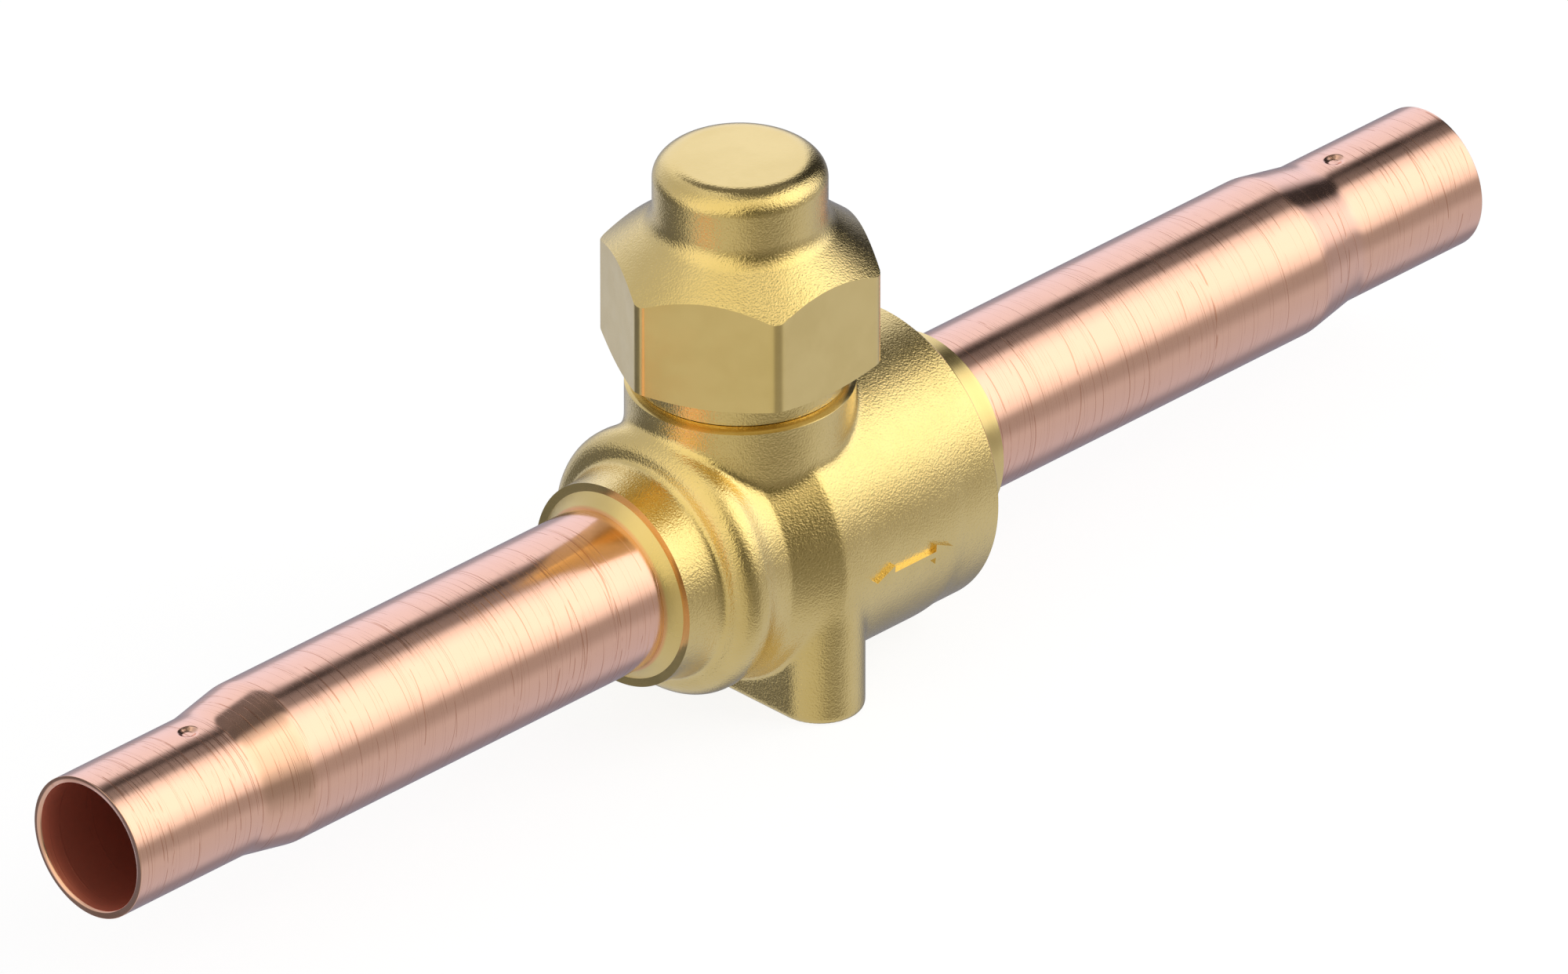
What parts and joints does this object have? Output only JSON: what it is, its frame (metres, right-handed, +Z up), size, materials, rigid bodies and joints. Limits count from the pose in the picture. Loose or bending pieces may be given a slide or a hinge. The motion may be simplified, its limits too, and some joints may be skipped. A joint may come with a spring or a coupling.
{
  "type": "shut-off ball valve",
  "caption": "Straight-way brass ball valve with copper solder ends, a mounting foot and a screwed hexagon seal cap over the stem.",
  "frame": {"origin": "middle of the foot's face, under the stem", "axes": "+X along the flow from the inlet end to the outlet end, +Z up along the stem, +Y across"},
  "size_m": [0.1792, 0.0302, 0.0551],
  "materials": {
    "forged_brass": "hot-forged and blasted, fine sandy grain, soft sheen",
    "turned_brass": "turned, fine circular tool marks",
    "cap_brass": "forged and blasted dome and cone, smooth milled flats",
    "copper_tube": "drawn copper, polished, with fine scratches round the tube",
    "braze_metal": "smooth brazed fillet, slightly dull",
    "chromed_ball": "lapped and chromed",
    "stem_steel": "turned and zinc plated",
    "clip_steel": "phosphated spring steel",
    "seat_plastic": "white fluoropolymer, waxy",
    "gasket_plastic": "off-white nylon",
    "seal_rubber": "black moulded rubber"
  },
  "bodies": {
    "valve": {"valve_body": "forged_brass", "body_closure": "turned_brass", "closure_o_ring": "seal_rubber", "inlet_tube": "copper_tube", "outlet_tube": "copper_tube", "inlet_braze": "braze_metal", "outlet_braze": "braze_metal", "inlet_seat": "seat_plastic", "outlet_seat": "seat_plastic", "inlet_seat_o_ring": "seal_rubber", "outlet_seat_o_ring": "seal_rubber", "stem_thrust_washer": "seat_plastic"},
    "stem": {"stem": "stem_steel", "ball": "chromed_ball", "stem_o_ring_lower": "seal_rubber", "stem_o_ring_upper": "seal_rubber", "stem_backup_ring": "seat_plastic", "stop_washer": "stem_steel", "stem_clip": "clip_steel"},
    "cap_seal": {"cap_gasket": "gasket_plastic"},
    "cap": {"seal_cap": "cap_brass"}
  },
  "joints": [
    {"name": "stem_turn", "type": "hinge", "parent": "valve", "child": "stem", "pos_m": [0, 0, 0.0155], "axis": [0, 0, -1], "range_deg": [0, 90]},
    {"name": "cap_lift", "type": "slide", "parent": "valve", "child": "cap_seal", "axis": [0, 0, 1], "range_m": [0, 0.009]},
    {"name": "cap_turn", "type": "hinge", "parent": "cap_seal", "child": "cap", "pos_m": [0, 0, 0.042], "axis": [0, 0, 1], "range_deg": [0, 2160]}
  ],
  "couplings": [
    {"joint": "cap_turn", "follows": "cap_lift", "rad_per_m": 4188.8}
  ]
}
